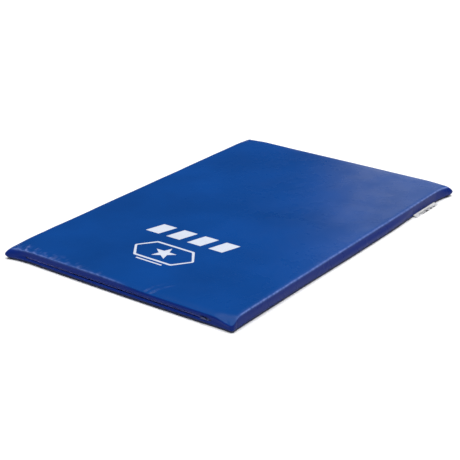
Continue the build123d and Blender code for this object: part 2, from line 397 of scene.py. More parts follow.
def remap(tree, value, low, high, to_low, to_high):
    """A value stretched from one range to another, and held inside it."""
    made = node(tree, "ShaderNodeMapRange", Value=value)
    made.inputs["From Min"].default_value = low
    made.inputs["From Max"].default_value = high
    made.inputs["To Min"].default_value = to_low
    made.inputs["To Max"].default_value = to_high
    return made.outputs["Result"]


def maths(tree, operation, first, second):
    made = node(tree, "ShaderNodeMath", operation=operation)
    for socket, value in zip(made.inputs, (first, second)):
        if isinstance(value, bpy.types.NodeSocket):
            tree.links.new(value, socket)
        else:
            socket.default_value = value
    return made.outputs["Value"]


def blended(tree, amount, first, second):
    """A colour between two, by an amount."""
    made = node(tree, "ShaderNodeMix", data_type="RGBA")
    for index, value in ((0, amount), (6, first), (7, second)):
        if isinstance(value, bpy.types.NodeSocket):
            tree.links.new(value, made.inputs[index])
        else:
            made.inputs[index].default_value = value if index == 0 else (*value, 1)
    return made.outputs[2]


def relief(tree, shader, height, depth, strength, below=None):
    """Bump of a depth in metres, on top of another bump if one is given."""
    made = node(tree, "ShaderNodeBump", Height=height, Strength=strength)
    made.inputs["Distance"].default_value = depth
    if below:
        tree.links.new(below, made.inputs["Normal"])
    tree.links.new(made.outputs["Normal"], shader.inputs["Normal"])
    return made.outputs["Normal"]


def tinted(colour, factor):
    """A colour made lighter or darker."""
    return tuple(min(1.0, factor * part) for part in colour)


def paint(tree, shader, amount, first, second):
    """Gives the shader a colour between two, by an amount."""
    tree.links.new(blended(tree, amount, first, second), shader.inputs["Base Color"])


def cover_vinyl(title, colours):
    """Smooth glossy vinyl with a fine pebble grain and faint handling marks; creased edges and creases
    painted lighter as a highlight on partly worn vinyl, and walls painted darker as shade.
    """
    material, tree, shader, place = new_material(title, colours.cover, 0.3, specular_ior_level=0.06)
    wear = node(tree, "ShaderNodeAttribute", attribute_name="wear").outputs["Fac"]
    cloudy = noise_value(tree, place, 2.6, 4.0)
    scuffs = noise_value(tree, place, 55.0, 5.0, 0.65)
    # Painted highlight on partly worn vinyl: lighter and rougher along the creased edges and on the
    # creases, broken up by scuffs.
    rubbed = maths(tree, "MULTIPLY", wear, remap(tree, scuffs, 0.35, 0.7, 0.25, 1.0))
    spread = remap(tree, cloudy, 0.3, 0.7, 0.0, 1.0)
    body = blended(tree, spread, tinted(colours.cover, 0.86), tinted(colours.cover, 1.10))
    # Painted shade: the walls, by their mark, take the darker, more violet vinyl.
    side = node(tree, "ShaderNodeAttribute", attribute_name="side").outputs["Fac"]
    paint(tree, shader, rubbed, blended(tree, side, body, colours.side), colours.worn)
    hazy = remap(tree, noise_value(tree, place, 7.0, 6.0, 0.6), 0.35, 0.7, 0.22, 0.36)
    rougher = maths(tree, "MULTIPLY", rubbed, 0.18)
    tree.links.new(maths(tree, "ADD", hazy, rougher), shader.inputs["Roughness"])
    pebbles = node(tree, "ShaderNodeTexVoronoi", Vector=place, Scale=850.0, feature="SMOOTH_F1")
    grain = relief(tree, shader, pebbles.outputs["Distance"], 0.00003, 0.3)
    relief(tree, shader, noise_value(tree, place, 30.0, 3.0), 0.0005, 0.25, grain)
    return material


def base_vinyl(title, colours):
    """Non-slip vinyl, moulded with rows of small round studs."""
    material, tree, shader, place = new_material(title, colours.base, 0.62, ior=1.5)
    grid = node(tree, "ShaderNodeTexVoronoi", Vector=place, Scale=220.0, Randomness=0.0)
    studs = remap(tree, grid.outputs["Distance"], 0.18, 0.42, 1.0, 0.0)
    dirt = remap(tree, noise_value(tree, place, 9.0, 5.0, 0.6), 0.4, 0.75, 0.0, 0.8)
    paint(tree, shader, dirt, colours.base, tinted(colours.base, 1.7))
    relief(tree, shader, studs, 0.0004, 0.8)
    return material


def foam_cells(title, base, cell):
    """Cut foam, with open cells of a given size."""
    material, tree, shader, place = new_material(title, base, 0.95)
    cells = node(tree, "ShaderNodeTexVoronoi", Vector=place, Scale=1 / cell).outputs["Distance"]
    # Painted shade: each cell is darker in its pit, by the same distance as the bump.
    paint(tree, shader, remap(tree, cells, 0.0, 0.7, 0.0, 1.0), tinted(base, 0.7), base)
    relief(tree, shader, cells, cell * 0.5, 0.7)
    return material


def woven(title, base, pitch):
    """Narrow woven tape, with ribs across it and yarns along it."""
    material, tree, shader, place = new_material(
        title, base, 0.8, sheen_weight=0.25, sheen_roughness=0.4
    )
    ribs, yarns = (
        node(tree, "ShaderNodeTexWave", Vector=place, Scale=1 / (pitch * wide), bands_direction=way)
        for wide, way in ((6.283, "X"), (3.1, "Z"))
    )
    height = maths(tree, "ADD", ribs.outputs["Fac"], maths(tree, "MULTIPLY", yarns.outputs["Fac"], 0.6))
    # Painted shade and highlight: the tape is darker in the hollows between ribs and lighter on their
    # tops, by the same height as the bump.
    paint(tree, shader, remap(tree, height, 0.2, 1.4, 0.0, 1.0), tinted(base, 0.55), tinted(base, 1.5))
    relief(tree, shader, height, pitch * 0.3, 0.8)
    return material


def webbing(title, colours):
    """Polypropylene webbing: herringbone ribs that follow the strap's own length and width."""
    base = colours.webbing
    material, tree, shader, _ = new_material(
        title, base, 0.62, sheen_weight=0.35, sheen_roughness=0.35
    )
    strap = node(tree, "ShaderNodeUVMap", uv_map="strap").outputs["UV"]
    split = node(tree, "ShaderNodeSeparateXYZ", Vector=strap)
    fold = maths(tree, "PINGPONG", split.outputs["Y"], 0.0025)
    slant = maths(tree, "ADD", split.outputs["X"], maths(tree, "MULTIPLY", fold, 1.3))
    twill = maths(tree, "PINGPONG", slant, 0.0007)
    ridge = remap(tree, twill, 0.0, 0.0007, 0.0, 1.0)
    yarns = remap(tree, maths(tree, "PINGPONG", split.outputs["Y"], 0.00035), 0.0, 0.00035, 0.0, 1.0)
    height = maths(tree, "ADD", ridge, maths(tree, "MULTIPLY", yarns, 0.5))
    # Painted shade and highlight: the webbing is darker in the hollows of its twill and lighter on its
    # ridges, by the same height as the bump.
    paint(tree, shader, remap(tree, height, 0.1, 1.4, 0.0, 1.0), tinted(base, 0.5), tinted(base, 2.0))
    relief(tree, shader, height, 0.00025, 0.9)
    return material


def plated_metal(title, colours):
    """Die-cast zinc with a dark plated finish, a little worn."""
    material, tree, shader, place = new_material(title, colours.metal, 0.3, metallic=1.0)
    rubbed = noise_value(tree, place, 900.0, 4.0, 0.6)
    bare = remap(tree, rubbed, 0.5, 0.75, 0.0, 0.7)
    paint(tree, shader, bare, colours.metal, tinted(colours.metal, 2.4))
    tree.links.new(remap(tree, rubbed, 0.3, 0.7, 0.24, 0.42), shader.inputs["Roughness"])
    relief(tree, shader, noise_value(tree, place, 2500.0, 2.0), 0.00002, 0.4)
    return material


def nylon(title, base, roughness):
    """Drawn nylon, for the coil and the sewing thread."""
    material, tree, shader, place = new_material(title, base, roughness, coat_weight=0.15)
    twist = noise_value(tree, place, 1800.0, 3.0)
    # Painted highlight: the nylon is lighter where its twist stands highest, by the same noise as the
    # bump.
    paint(tree, shader, remap(tree, twist, 0.35, 0.7, 0.0, 0.8), base, tinted(base, 1.8))
    relief(tree, shader, twist, 0.00005, 0.5)
    return material


def screen_print(title, colours):
    """Thick white ink that shows the vinyl's grain and has a few hairline cracks."""
    material, tree, shader, place = new_material(title, colours.printed, 0.42, ior=1.45)
    cracks = node(tree, "ShaderNodeTexVoronoi", Vector=place, Scale=38.0, feature="DISTANCE_TO_EDGE")
    lines = remap(tree, cracks.outputs["Distance"], 0.0, 0.012, 1.0, 0.0)
    patches = remap(tree, noise_value(tree, place, 14.0, 3.0), 0.52, 0.64, 0.0, 0.35)
    worn = maths(tree, "MULTIPLY", lines, patches)
    smudge = remap(tree, noise_value(tree, place, 22.0, 5.0, 0.6), 0.4, 0.8, 0.0, 0.5)
    ink = blended(tree, smudge, colours.printed, tinted(colours.printed, 0.88))
    paint(tree, shader, worn, ink, colours.worn)
    pebbles = node(tree, "ShaderNodeTexVoronoi", Vector=place, Scale=850.0, feature="SMOOTH_F1")
    relief(tree, shader, pebbles.outputs["Distance"], 0.00008, 0.3)
    return material


def label_cloth(title, colours):
    """Coated satin label cloth with a faint grey ground in its middle."""
    material, tree, shader, place = new_material(
        title, colours.tag, 0.55, sheen_weight=0.1, sheen_roughness=0.4
    )
    tag = node(tree, "ShaderNodeUVMap", uv_map="tag").outputs["UV"]
    split = node(tree, "ShaderNodeSeparateXYZ", Vector=tag)
    inner = remap(tree, split.outputs["X"], 0.34, 0.46, 0.0, 1.0)
    outer = remap(tree, split.outputs["X"], 0.86, 0.94, 1.0, 0.0)
    rows = maths(tree, "PINGPONG", split.outputs["X"], 0.03)
    lines = remap(tree, rows, 0.012, 0.02, 0.35, 1.0)
    broken = remap(tree, noise_value(tree, place, 160.0, 2.0), 0.45, 0.55, 0.3, 1.0)
    marks = maths(tree, "MULTIPLY", lines, broken)
    ground = maths(tree, "MULTIPLY", maths(tree, "MULTIPLY", inner, outer), marks)
    grey = (0.22, 0.22, 0.24)
    paint(tree, shader, ground, colours.tag, grey)
    threads = noise_value(tree, place, 2600.0, 2.0)
    relief(tree, shader, threads, 0.00006, 0.4)
    return material


def label_ink(title, colours):
    """Patchy black ink on the care tag."""
    material, tree, shader, place = new_material(title, colours.ink, 0.5)
    patchy = remap(tree, noise_value(tree, place, 900.0, 3.0), 0.45, 0.75, 0.0, 0.5)
    paint(tree, shader, patchy, colours.ink, (0.08, 0.08, 0.09))
    return material


# The material for each slot and for the thread: its own name, its maker and what the maker takes.
MAKERS = {
    "cover_vinyl": ("smooth_vinyl", cover_vinyl, None),
    "base_vinyl": ("studded_vinyl", base_vinyl, None),
    "foam_firm": ("closed_cell_foam", foam_cells, ("firm_foam", 0.0008)),
    "foam_soft": ("open_cell_foam", foam_cells, ("soft_foam", 0.0016)),
    "binding_tape": ("ribbed_tape", woven, ("tape", 0.0009)),
    "zip_tape": ("fine_tape", woven, ("tape", 0.0007)),
    "zip_coil": ("drawn_nylon", nylon, ("coil", 0.35)),
    "thread": ("sewing_thread", nylon, ("thread", 0.5)),
    "zip_metal": ("plated_zinc", plated_metal, None),
    "webbing": ("herringbone_webbing", webbing, None),
    "tag_cloth": ("label_satin", label_cloth, None),
    "tag_ink": ("label_black", label_ink, None),
    "white_print": ("screen_ink", screen_print, None),
}


def stock(name):
    """The material for a slot or for the thread, made once."""
    title, maker, taken = MAKERS[name]
    ready = bpy.data.materials.get(title)
    if ready:
        return ready
    colours = bpy.context.scene.mat_colours
    if taken is None:
        return maker(title, colours)
    key, measure = taken
    return maker(title, getattr(colours, key), measure)


# ---- Cover ----

COLUMN_STEP = 0.0095
ROW_STEP = 0.052
FIRM_CREASE = 0.65
SOFT_CREASE = 0.1


def crowded_lines(half, step, snaps=()):
    """Places of grid lines across a side: close together near its edges, and a step in the middle."""
    first, fine = 0.0025, 0.006
    edge = [half, half - first] + [half - fine * part for part in range(1, 21)]
    inner = edge[-1]
    count = round(2 * inner / step)
    middle = [inner - 2 * inner * part / count for part in range(1, count)]
    lines = sorted(edge + middle + [-place for place in edge])
    for snap in snaps:
        nearest = min(range(len(lines)), key=lambda index: abs(lines[index] - snap))
        lines[nearest] = snap
    return lines


def wall_levels():
    """Heights at which the walls have a row of points, with one on each seam and slot edge."""
    low, high = ZIP_Z - SLOT_HALF, ZIP_Z + SLOT_HALF
    below = [0.002, 0.005, BASE_SEAM, 0.012, 0.0155, 0.019]
    above = [0.0355, 0.040, 0.045, 0.050, 0.0535, TOP_SEAM]
    return below + [low, ZIP_Z, high] + above


def panel_of(middle):
    """Which cloth panel a face of the square form belongs to, from its middle."""
    x, y, z = middle
    if z > TOP_SEAM:
        return TOP
    if z < BASE_SEAM:
        return BASE
    end = LENGTH / 2 - CORNER_R
    if y > end:
        return SIDE_BACK
    if y >= -end:
        return SIDE_RIGHT if x > 0 else SIDE_LEFT
    if SLOT_LEFT < x < SLOT_RIGHT and abs(z - ZIP_Z) < SLOT_HALF and y < FRONT + SAME:
        return SLOT
    return FRONT_UPPER if z > ZIP_Z else FRONT_LOWER


def round_corners(places):
    """Squeezes each square corner of the plan into a quarter circle."""
    half = np.array([WIDTH / 2 - PLAN_R, LENGTH / 2 - PLAN_R])
    beyond = np.abs(places[:, :2]) - half
    corner = (beyond > 1e-9).all(1)
    out = beyond[corner]
    scale = out.max(1) / np.linalg.norm(out, axis=1)
    places[corner, :2] = np.sign(places[corner, :2]) * (half + out * scale[:, None])
    return places


def make_form():
    """The cover as one closed box of cloth, with its grid, panels and rounded corners."""
    columns = crowded_lines(WIDTH / 2, COLUMN_STEP, (SLOT_LEFT, SLOT_RIGHT))
    rows = crowded_lines(LENGTH / 2, ROW_STEP)
    cells = {"x_subdivisions": len(columns) - 1, "y_subdivisions": len(rows) - 1}
    form = added("grid", "cover_form", size=2, **cells)
    places = points(form)
    across = np.rint((places[:, 0] + 1) / 2 * (len(columns) - 1)).astype(int)
    along = np.rint((places[:, 1] + 1) / 2 * (len(rows) - 1)).astype(int)
    level = np.full(len(across), HEIGHT)
    set_points(form, np.stack([np.array(columns)[across], np.array(rows)[along], level], 1))
    with editing(form):
        bpy.ops.mesh.select_all(action="SELECT")
        bpy.ops.mesh.extrude_region_move(TRANSFORM_OT_translate={"value": (0, 0, -HEIGHT)})
        bpy.ops.mesh.select_all(action="SELECT")
        bpy.ops.mesh.normals_make_consistent(inside=False)
        bisect_at(at_levels(wall_levels()), AXES[2])
    for _ in range(SLOT + 1):
        form.data.materials.append(None)
    for face in form.data.polygons:
        face.material_index = panel_of(face.center)
    kinds = form.data.attributes.new("panel", "INT", "FACE")
    kinds.data.foreach_set("value", [face.material_index for face in form.data.polygons])
    with editing(form) as mesh:
        for face in mesh.faces:
            face.select_set(face.material_index == SLOT)
        bmesh.update_edit_mesh(form.data)
        bpy.ops.mesh.delete(type="FACE")
    set_points(form, round_corners(points(form)))
    return form


def mark_seams(form):
    """Creases the edges where panels meet, and returns the points that the seams hold."""
    mesh = bmesh.new()
    mesh.from_mesh(form.data)
    crease = mesh.edges.layers.float.get("crease_edge") or mesh.edges.layers.float.new("crease_edge")
    held = set()
    for edge in mesh.edges:
        panels = {face.material_index for face in edge.link_faces}
        if len(panels) == 2 or len(edge.link_faces) == 1:
            middle = (edge.verts[0].co + edge.verts[1].co) / 2
            soft = middle.x > -0.02 and middle.y < FRONT + 0.05 and middle.z > ZIP_Z + 2 * SLOT_HALF
            edge[crease] = SOFT_CREASE if soft else FIRM_CREASE
            held.update(vert.index for vert in edge.verts)
    held.update(vert.index for vert in mesh.verts if vert.co.z < BASE_SEAM + SAME)
    mesh.to_mesh(form.data)
    mesh.free()
    return sorted(held)


def gathered(places):
    """How much spare cloth there is at each point: most along the left half of the front edge."""
    x, y, z = places.T
    near_front = np.exp(-(((y - FRONT) / 0.07) ** 2)) * (z > BASE_SEAM)
    left_half = 1 / (1 + np.exp((x + 0.05) / 0.06))
    edges = np.minimum(WIDTH / 2 - np.abs(x), LENGTH / 2 - np.abs(y))
    return np.clip(near_front * (0.25 + 0.75 * left_half) + 0.18 * np.exp(-((edges / 0.05) ** 2)), 0, 1)


SWELL_FRAMES = 20


def swell(form, held, most):
    """Cloth simulation: the cover swells between its seams under pressure, up to a soft limit."""
    start = points(form)
    pins = form.vertex_groups.new(name="seams")
    pins.add(held, 1.0, "REPLACE")
    spare = form.vertex_groups.new(name="gathered")
    for index, weight in enumerate(gathered(start)):
        if weight > 0.01:
            spare.add([index], float(weight), "REPLACE")
    modifier = form.modifiers.new("Cloth", "CLOTH")
    cloth = modifier.settings
    cloth.quality = 6
    cloth.mass = 0.25
    cloth.tension_stiffness = 25
    cloth.compression_stiffness = 25
    cloth.shear_stiffness = 8
    cloth.bending_stiffness = 0.8
    cloth.vertex_group_mass = "seams"
    cloth.pin_stiffness = 1.0
    cloth.vertex_group_shrink = "gathered"
    cloth.shrink_min = 0.0
    cloth.shrink_max = -0.03
    cloth.use_pressure = True
    cloth.uniform_pressure_force = 3.0
    cloth.effector_weights.gravity = 0
    modifier.collision_settings.use_collision = False
    modifier.point_cache.frame_start = 1
    modifier.point_cache.frame_end = SWELL_FRAMES
    scene = bpy.context.scene
    for step in range(1, SWELL_FRAMES + 1):
        scene.frame_set(step)
    apply_all(form)
    scene.frame_set(1)
    form.vertex_groups.clear()
    move = points(form) - start
    size = np.linalg.norm(move, axis=1, keepdims=True)
    set_points(form, start + move * most * np.tanh(size / most) / np.maximum(size, 1e-9))


def outline(places):
    """Each point's distance in from the cover's plan outline, and the way out from it."""
    half = np.array([WIDTH / 2 - PLAN_R, LENGTH / 2 - PLAN_R])
    sign = np.where(places[:, :2] < 0, -1.0, 1.0)
    beyond = np.abs(places[:, :2]) - half
    corner = (beyond > 0).all(1)
    reach = np.maximum(np.linalg.norm(beyond, axis=1), 1e-9)
    gap = PLAN_R - beyond
    across = gap[:, 0] < gap[:, 1]
    inside = np.where(across, gap[:, 0], gap[:, 1])
    straight = np.where(across[:, None], [1.0, 0.0], [0.0, 1.0])
    inside = np.where(corner, PLAN_R - reach, inside)
    way = np.where(corner[:, None], beyond / reach[:, None], straight) * sign
    return inside, way


def ripple(places, size, seed):
    """Smooth noise of about one, over features of a given size."""
    shift = Vector((seed * 7.3, seed * 3.1, seed * 5.7))
    return np.array([noise.noise(Vector(place) / size + shift) for place in places])


def bell(distance, width):
    return np.exp(-((distance / width) ** 2))


def ramp(value, start, end):
    """0 before start, 1 after end, and smooth between."""
    part = np.clip((value - start) / (end - start), 0, 1)
    return part * part * (3 - 2 * part)


# Creases that run in from the front edge: where each starts along the edge, where it ends, how far
# in it ends, its half width and its height.
FRONT_CREASES = (
    (-0.560, -0.586, 0.043, 0.0060, 0.0030),
    (-0.536, -0.566, 0.061, 0.0050, -0.0036),
    (-0.514, -0.544, 0.076, 0.0055, 0.0048),
    (-0.492, -0.516, 0.058, 0.0055, -0.0042),
    (-0.470, -0.489, 0.068, 0.0060, 0.0046),
    (-0.448, -0.457, 0.043, 0.0055, -0.0030),
    (-0.424, -0.427, 0.032, 0.0060, 0.0016),
    (-0.374, -0.354, 0.061, 0.0052, 0.0040),
    (-0.358, -0.332, 0.054, 0.0052, -0.0034),
    (-0.342, -0.310, 0.068, 0.0052, 0.0026),
    (-0.276, -0.266, 0.032, 0.0060, 0.0014),
    (-0.218, -0.205, 0.043, 0.0052, 0.0034),
    (-0.202, -0.183, 0.047, 0.0052, -0.0028),
    (-0.150, -0.144, 0.026, 0.0060, 0.0012),
    (-0.106, -0.096, 0.042, 0.0052, 0.0030),
    (-0.090, -0.076, 0.043, 0.0052, -0.0022),
    (0.150, 0.205, 0.130, 0.0070, 0.0021),
    (0.176, 0.262, 0.160, 0.0080, 0.0024),
)


def crease_height(x, y):
    """How far the front edge's creases lift the top at a point."""
    total = np.zeros(len(x))
    for start, end, reach, width, height in FRONT_CREASES:
        run = np.array([end - start, reach])
        along = ((x - start) * run[0] + (y - FRONT) * run[1]) / (run @ run)
        away = ((x - start) * run[1] - (y - FRONT) * run[0]) / np.linalg.norm(run)
        taper = ramp(along, -0.12, 0.10) * (1 - ramp(along, 0.25, 1.0))
        total += height * taper * bell(away, width)
    return total


def rolled(x):
    """How much of its crease the front edge has lost: none on its left half, all on its right."""
    return ramp(x, -0.10, 0.22)


def edge_roll(place, sizes):
    """How far the right half of the front edge drops, where it has no crease."""
    return sizes.roll * rolled(place[:, 0]) * bell(place[:, 1] - FRONT, 0.026)


def sides(way):
    """Which points are on the right, on the left and at the back, from their ways out."""
    return [part.astype(float) for part in (way[:, 0] > 0.5, way[:, 0] < -0.5, way[:, 1] > 0.5)]


# How far the low part of the right and front walls bows out, and the bump in front of the tag.
RIGHT_BOW = 0.0065
FRONT_BOW = 0.0040
BUMP = 0.0042
BUMP_Y = 0.527


def wall_shape(place, way, wall, sizes):
    """How far each point of the walls stands out, and how flat the wall is kept there by the tag."""
    x, y, z = place.T
    right_side, left_side, back_side = sides(way)
    front = wall * bell(y - FRONT, 0.004) * (np.abs(x) < WIDTH / 2 - 0.002)
    rise = np.clip((z - BASE_SEAM) / (TOP_SEAM - BASE_SEAM), 0, 1)
    out = sizes.belly * np.sin(math.pi * rise) ** 0.8
    out -= sizes.seam_pinch * (bell(z - BASE_SEAM, 0.0022) + 0.25 * bell(z - TOP_SEAM, 0.0018))
    tuck = np.clip(1 - z / BASE_SEAM, 0, 1)
    out -= sizes.base_round * (1 - np.sqrt(np.clip(1 - tuck**2, 0, 1)))
    zipped = ramp(x, SLOT_LEFT - 0.05, SLOT_LEFT) * (1 - ramp(x, SLOT_RIGHT - 0.06, SLOT_RIGHT + 0.02))
    lip_shape = ramp(z, BASE_SEAM, 0.0145) * (1 - ramp(z, 0.0175, ZIP_Z - SLOT_HALF + 0.001))
    middling = np.cos(math.pi * x / WIDTH)
    out += front * sizes.lip * zipped * lip_shape * (0.8 + 0.2 * middling)
    out -= front * sizes.belly * bell(z - ZIP_Z, 0.009) * zipped
    out += front * 0.0022 * rolled(x) * bell(z - 0.044, 0.010)
    looseness = 0.0005 + 0.0018 * left_side + 0.0008 * back_side
    waves = ripple(place * [1, 1, 2.5], 0.22, 1) + 0.5 * ripple(place * [1, 1, 2.0], 0.09, 2)
    out += looseness * waves * ramp(z, BASE_SEAM, 0.03)
    low_down = 1 - ramp(z, 0.020, 0.050)
    bowed = low_down * right_side * ramp(y, -0.5, 0.1) * (1 - ramp(y, 0.34, 0.56))
    out += RIGHT_BOW * bowed + FRONT_BOW * front * low_down * middling
    by_tag = ramp(y, TAG[0].y - 0.03, TAG[0].y) * (1 - ramp(y, TAG[1].y, TAG[1].y + 0.04))
    flat = 0.85 * by_tag * right_side
    bump = BUMP * bell(y - BUMP_Y, 0.014) * bell(z - 0.0135, 0.006) * right_side
    return out * (1 - flat) + bump, flat


def top_shape(place, near):
    """How far each point of the top rises, with its creases, waves, soft shoulder and seam bead."""
    x, y, _ = place.T
    lift = crease_height(x, y) * ramp(near, -0.004, 0.004)
    lift += 0.0007 * ripple(place, 0.30, 3) + 0.00035 * ripple(place, 0.11, 4) * bell(near, 0.25)
    rounded = np.clip(rolled(x) * bell(y - FRONT, 0.06), 0, 1)
    shoulder = rounded * (0.0012 * bell(near, 0.006) + 0.0010 * bell(near, 0.02))
    bead = 0.0005 * (1 - rounded) * bell(near, 0.003)
    return lift - shoulder + bead


def highlight_and_wear_amount(place, near, top, way):
    """How much painted highlight, on partly worn vinyl, each point gets: along creased edges, on the
    creases and over the left front gathers.
    """
    x, y, z = place.T
    _, left_side, back_side = sides(way)
    creased = 1 - ramp(x, -0.05, 0.08) * bell(y - FRONT, 0.03)
    creased *= 1 - bell(x - RIGHT, 0.05) * bell(y - FRONT, 0.05)
    along_front = bell(y - FRONT, 0.02)
    # Painted highlight along the creased front and right edges, partly worn vinyl.
    wear = creased * (1 - 0.45 * along_front) * bell(near, 0.004) * bell(z - HEIGHT, 0.004)
    wear += creased * 0.12 * bell(near, 0.012) * bell(z - HEIGHT, 0.008)
    # Little painted highlight on the left and back edges, which stay dark.
    wear *= 1 - 0.75 * np.maximum(left_side, back_side)
    mottled = np.clip(0.55 + 1.5 * ripple(place, 0.012, 5), 0, 1)
    # Painted highlight strokes on the crease ridges.
    wear += 0.55 * mottled * top * np.clip(crease_height(x, y) / 0.0036, 0, 1) ** 2
    # Painted highlight specks over the left front gathers.
    gathers = bell(y - FRONT - 0.022, 0.022) * ramp(-x, 0.10, 0.40) * (1 - ramp(-x, 0.545, 0.575))
    specks = np.clip(2.4 * ripple(place * [1, 0.45, 1], 0.011, 6) - 0.1, 0, 1)
    return wear + 0.30 * top * gathers * specks


def shape_form(form, sizes):
    """Shapes the walls and the top, draws out the corners, and marks the painted edge highlight (on partly
    worn vinyl) and the walls' painted shade.
    """
    place = np.empty(len(form.data.vertices) * 3)
    form.data.attributes["place"].data.foreach_get("vector", place)
    place = place.reshape(-1, 3)
    z = place[:, 2]
    now = points(form)
    inside, way = outline(place)
    near = np.maximum(inside, 0)
    wall = bell(inside, 0.002)
    top = (z > TOP_SEAM - SAME).astype(float)
    out, flat = wall_shape(place, way, wall, sizes)
    swollen = now[:, 0] - place[:, 0]
    now[:, 0] = np.where(wall > 0.5, place[:, 0] + swollen * (1 - flat), now[:, 0])
    now[:, :2] += way * (out * wall)[:, None]
    now[:, 2] += top * top_shape(place, near)
    now[:, 2] -= edge_roll(place, sizes) * ramp(z, 0.034, TOP_SEAM)
    set_points(form, pull_ears(now, place, sizes))
    form.data.attributes.remove(form.data.attributes["place"])
    # Painted highlight, partly worn vinyl, along the creased edges and on the creases.
    mark(form, "wear", highlight_and_wear_amount(place, near, top, way))
    # Painted shade: marks the walls for their darker, more violet colour.
    mark(form, "side", 1 - ramp(z, 0.050, 0.0572))


def pull_ears(now, place, sizes):
    """Draws each corner out to a point of spare cloth part way up, and thins the cover towards it.

    The corner at the zip's right end is softer: it hardly stands out, and the top falls to it.
    """
    x, y, z = place.T
    soft = (x > 0) & (y < 0)

    def pick(at_soft, elsewhere):
        return np.where(soft, at_soft, elsewhere)

    zone = pick(0.8, 1.0) * EAR_ZONE
    tip = pick(0.5, 0.85) * EAR_Z
    across = np.clip((np.abs(x) - WIDTH / 2 + zone) / zone, 0, 1)
    along = np.clip((np.abs(y) - LENGTH / 2 + zone) / zone, 0, 1)
    above = np.clip((z - tip) / (HEIGHT - tip), 0, 1)
    below = np.clip((tip - z) / tip, 0, 1)
    reach = pick(0.15, 1.0) * sizes.ear * (across * along) ** pick(3.2, 1.9)
    reach *= (1 - pick(0.30, 0.82) * above**1.6) * (1 - 0.50 * below**2.2)
    now[:, 0] += np.sign(x) * reach
    now[:, 1] += np.sign(y) * reach
    narrow = np.minimum(across, along) ** 1.6 * np.maximum(across, along) ** 3
    wide = pick(ramp(across, 0, 1) * bell(y - FRONT, 0.032), narrow)
    now[:, 2] += wide * (tip - z) * np.where(z > tip, pick(0.36, 0.26), pick(0.04, 0.10))
    return now


def settle(piece, sizes):
    """Lets a piece inside the cover give way wherever the cover drops over it."""
    for offset in (0.010, 0.020, 0.035, 0.055, 0.080, EAR_ZONE):
        for way, half in ((AXES[0], WIDTH / 2), (AXES[1], LENGTH / 2)):
            cut(piece, [way * side * (half - offset) for side in (-1, 1)], way)
    cut(piece, [AXES[0] * share * WIDTH / 2 for share in (-0.25, 0.0, 0.2, 0.4, 0.6)], AXES[0])
    start = points(piece)
    height = pull_ears(start.copy(), start, sizes)[:, 2]
    start[:, 2] = height - 1.3 * edge_roll(start, sizes) * ramp(start[:, 2], 0.030, TOP_SEAM)
    set_points(piece, start)


def keep_places(form):
    """Remembers where every point of the form starts, through what is done to it next."""
    kept = form.data.attributes.new("place", "FLOAT_VECTOR", "POINT")
    kept.data.foreach_set("vector", points(form).ravel())


def refine(piece):
    """Divides every face of a piece once, and smooths it between its creases."""
    modifier = piece.modifiers.new("Subdivision", "SUBSURF")
    modifier.levels = 1
    modifier.render_levels = 1
    modifier.boundary_smooth = "PRESERVE_CORNERS"
    apply_all(piece)


def panels_from(form):
    """Cuts the form along its seams and returns each panel by its number."""
    only(form)
    bpy.ops.object.mode_set(mode="EDIT")
    bpy.ops.mesh.separate(type="MATERIAL")
    bpy.ops.object.mode_set(mode="OBJECT")
    found = {}
    for piece in bpy.context.selected_objects:
        kinds = piece.data.attributes["panel"]
        found[kinds.data[0].value] = piece
        piece.data.attributes.remove(kinds)
    return found


PANELS = (
    (TOP, "cover_top", "cover_top_sheet", "cover_vinyl"),
    (SIDE_RIGHT, "cover_side_right", "side_band_right", "cover_vinyl"),
    (SIDE_LEFT, "cover_side_left", "side_band_left", "cover_vinyl"),
    (SIDE_BACK, "cover_end_back", "side_band_back", "cover_vinyl"),
    (FRONT_UPPER, "cover_end_front_upper", "front_band_upper", "cover_vinyl"),
    (FRONT_LOWER, "cover_end_front_lower", "front_band_lower", "cover_vinyl"),
    (BASE, "cover_base", "base_sheet", "base_vinyl"),
)


def surface_of(*pieces):
    """A lookup of the nearest or next surface on some pieces."""
    verts, faces = [], []
    for piece in pieces:
        base = len(verts)
        verts += [vert.co.copy() for vert in piece.data.vertices]
        faces += [[index + base for index in face.vertices] for face in piece.data.polygons]
    return BVHTree.FromPolygons(verts, faces)


def covering():
    """A lookup of the finished cover's outer surface."""
    return surface_of(*(bpy.data.objects[name] for _, name, _, _ in PANELS))


class MAT_OT_cover(bpy.types.Operator):
    """Make the vinyl cover's panels: top, sides, front strips and base"""

    bl_idname = "mat.make_cover"
    bl_label = "Cover"

    def execute(self, context):
        sizes = context.scene.mat_sizes
        form = make_form()
        held = mark_seams(form)
        keep_places(form)
        swell(form, held, sizes.puff)
        refine(form)
        shape_form(form, sizes)
        smooth(form, 60)
        panels = panels_from(form)
        for panel, name, node_name, slot in PANELS:
            piece = panels[panel]
            piece.name = name
            piece.data.name = name
            thicken(piece, sizes.vinyl)
            finish_piece(piece, stock(slot), stands_for=(node_name,))
        return {"FINISHED"}


# ---- Foam ----


def rounded_block(name, low, high):
    """A block between two corners, with the cover's rounding on its four upright edges."""
    block = added("cube", name, size=1, location=(low + high) / 2, scale=high - low)
    radius = CORNER_R - (RIGHT - high.x)
    round_edges(block, lambda first, second: abs(first.z - second.z) > SAME, radius, 8)
    return block


